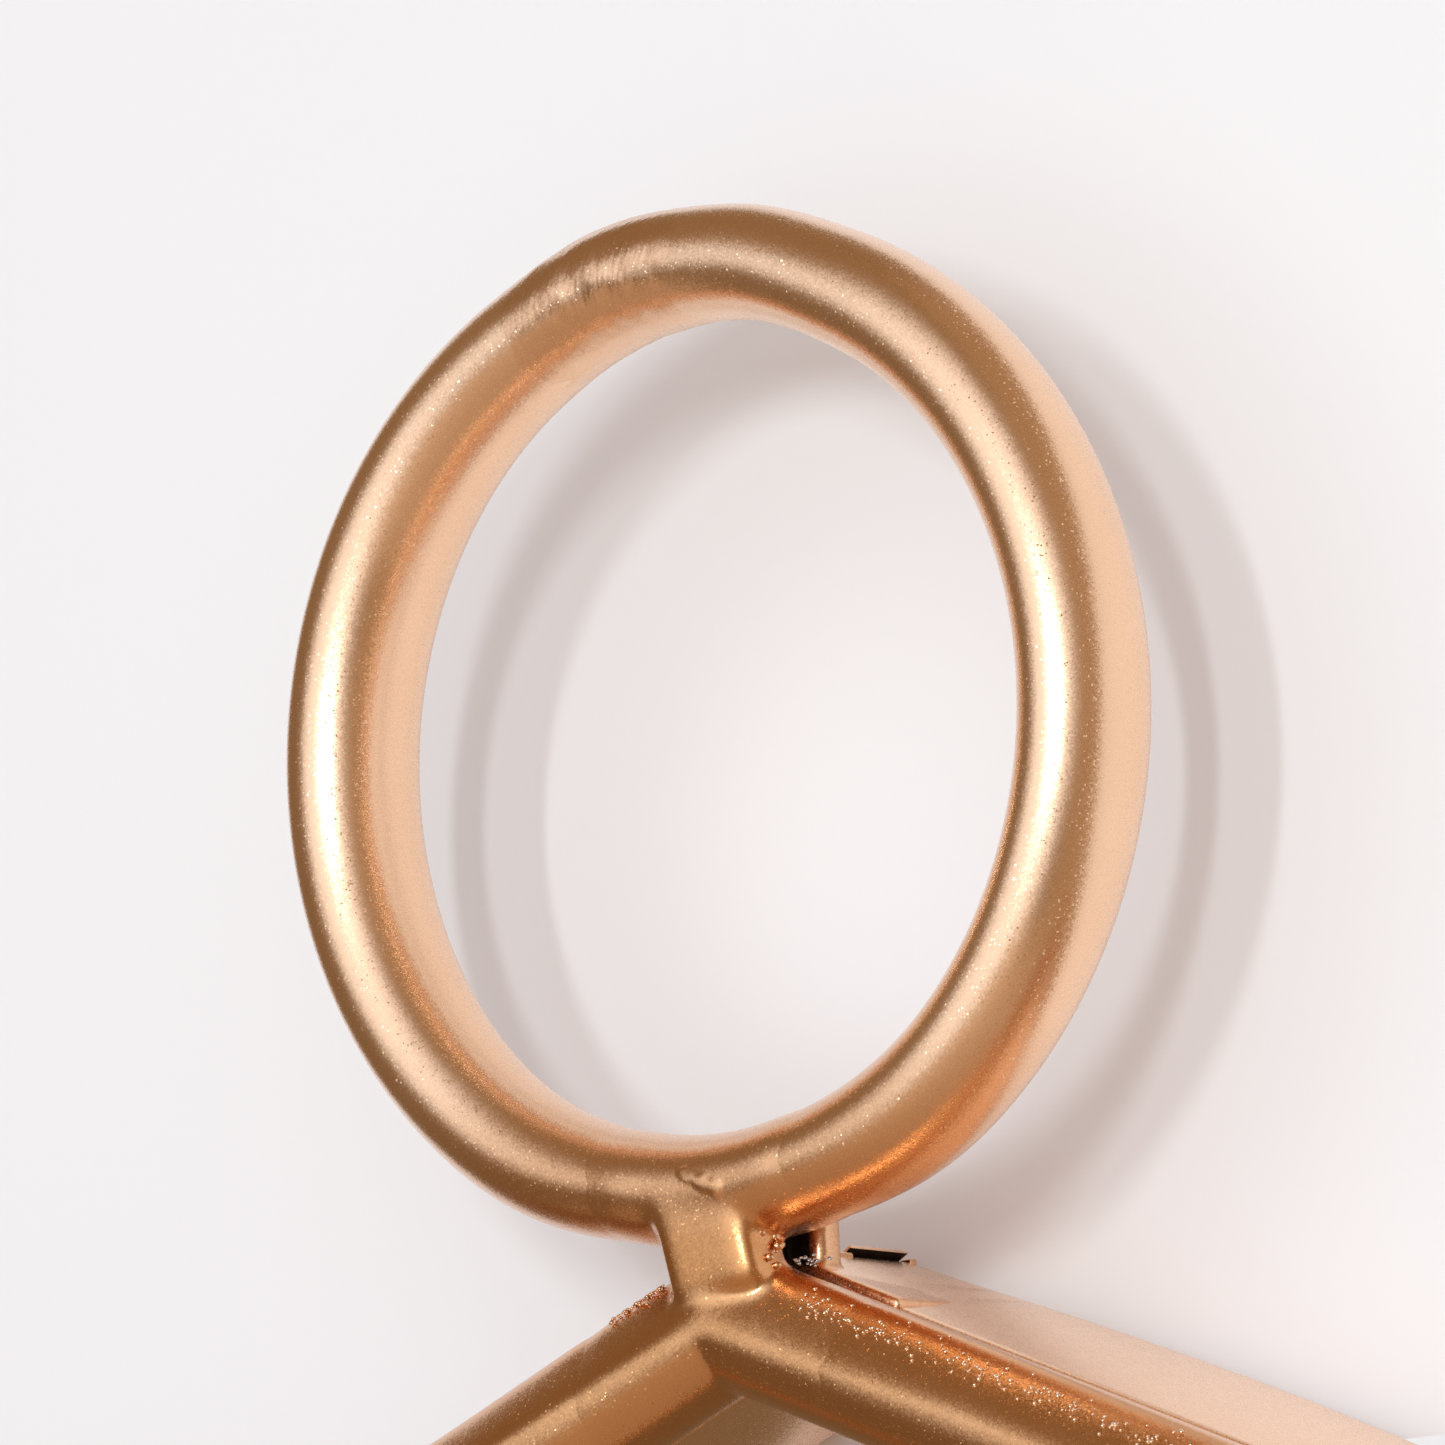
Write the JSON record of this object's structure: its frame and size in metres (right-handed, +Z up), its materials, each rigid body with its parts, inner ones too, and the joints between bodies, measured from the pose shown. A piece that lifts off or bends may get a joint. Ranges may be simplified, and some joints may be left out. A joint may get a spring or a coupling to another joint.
{
  "type": "wreath frame",
  "caption": "Octagonal hanging wreath frame in gold-painted tube: a mitred round-tube front rim welded to a box-tube rear rim, with a bent-tube hanging ring on the top corner.",
  "frame": {"origin": "the hang point: inside the hanging ring, at its top, in the middle of the ring's tube from front to back", "axes": "+Z up, +X to the right seen from the front, front towards -Y and the wall side towards +Y"},
  "size_m": [0.4536, 0.0325, 0.5443],
  "materials": {
    "gold_paint": "satin metallic",
    "painted_weld": "satin metallic"
  },
  "bodies": {
    "root": {"hanging_ring": "gold_paint", "front_tube_top_right": "gold_paint", "front_tube_upper_right": "gold_paint", "front_tube_lower_right": "gold_paint", "front_tube_bottom_right": "gold_paint", "front_tube_bottom_left": "gold_paint", "front_tube_lower_left": "gold_paint", "front_tube_upper_left": "gold_paint", "front_tube_top_left": "gold_paint", "rear_bar_top_right": "gold_paint", "rear_bar_upper_right": "gold_paint", "rear_bar_lower_right": "gold_paint", "rear_bar_bottom_right": "gold_paint", "rear_bar_bottom_left": "gold_paint", "rear_bar_lower_left": "gold_paint", "rear_bar_upper_left": "gold_paint", "rear_bar_top_left": "gold_paint", "ring_seam_weld": "painted_weld", "ring_front_weld": "painted_weld", "ring_rear_weld": "painted_weld", "front_corner_welds": "painted_weld", "rear_corner_welds": "painted_weld", "rim_stitch_welds": "painted_weld"}
  },
  "joints": []
}
